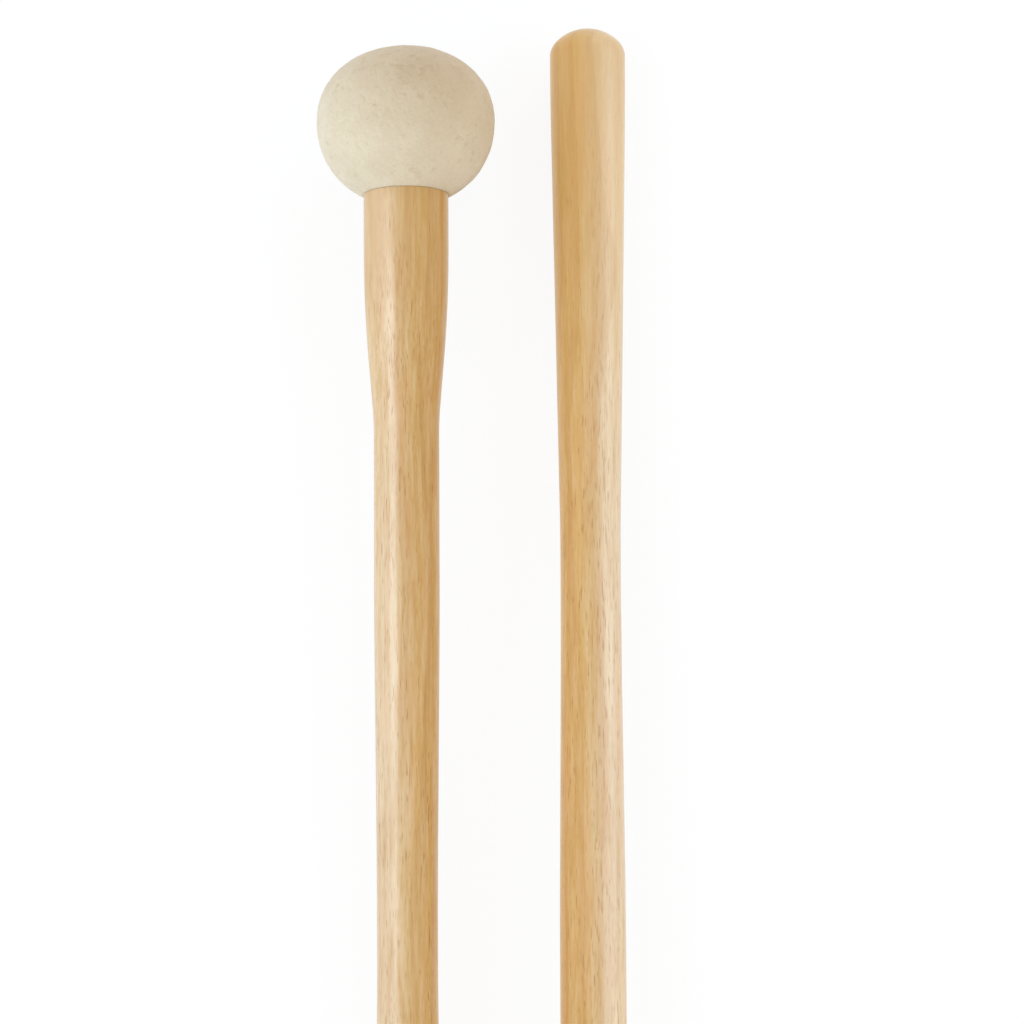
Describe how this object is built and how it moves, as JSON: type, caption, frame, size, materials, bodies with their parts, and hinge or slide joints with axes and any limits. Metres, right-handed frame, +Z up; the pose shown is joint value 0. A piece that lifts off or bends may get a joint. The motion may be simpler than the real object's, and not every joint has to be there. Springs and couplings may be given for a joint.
{
  "type": "bass drum mallet pair",
  "caption": "Bass drum mallets lying head to tail: turned hardwood handles with a swelling grip and flared neck, each with a flattened ball of hard felt glued on its tenon.",
  "frame": {"origin": "midway between the two mallets, on the surface that they lie on", "axes": "+Y along the mallets, towards the head of mallet 1 and the butt of mallet 2; +X from mallet 1 to mallet 2; +Z up from the surface"},
  "size_m": [0.0894, 0.3764, 0.0441],
  "materials": {
    "lacquered_wood": "pale straight-grained hardwood under satin clear lacquer",
    "pressed_felt": "hard pressed wool felt, off-white, sanded smooth",
    "dried_glue": "set amber wood glue"
  },
  "bodies": {
    "mallet_1": {"mallet_1_handle": "lacquered_wood", "mallet_1_felt_head": "pressed_felt", "mallet_1_glue_bond": "dried_glue"},
    "mallet_2": {"mallet_2_handle": "lacquered_wood", "mallet_2_felt_head": "pressed_felt", "mallet_2_glue_bond": "dried_glue"}
  },
  "joints": [
    {"name": "mallet_2_lift", "type": "slide", "parent": "mallet_1", "child": "mallet_2", "axis": [0, 0, 1], "range_m": [0, 0.08]}
  ]
}
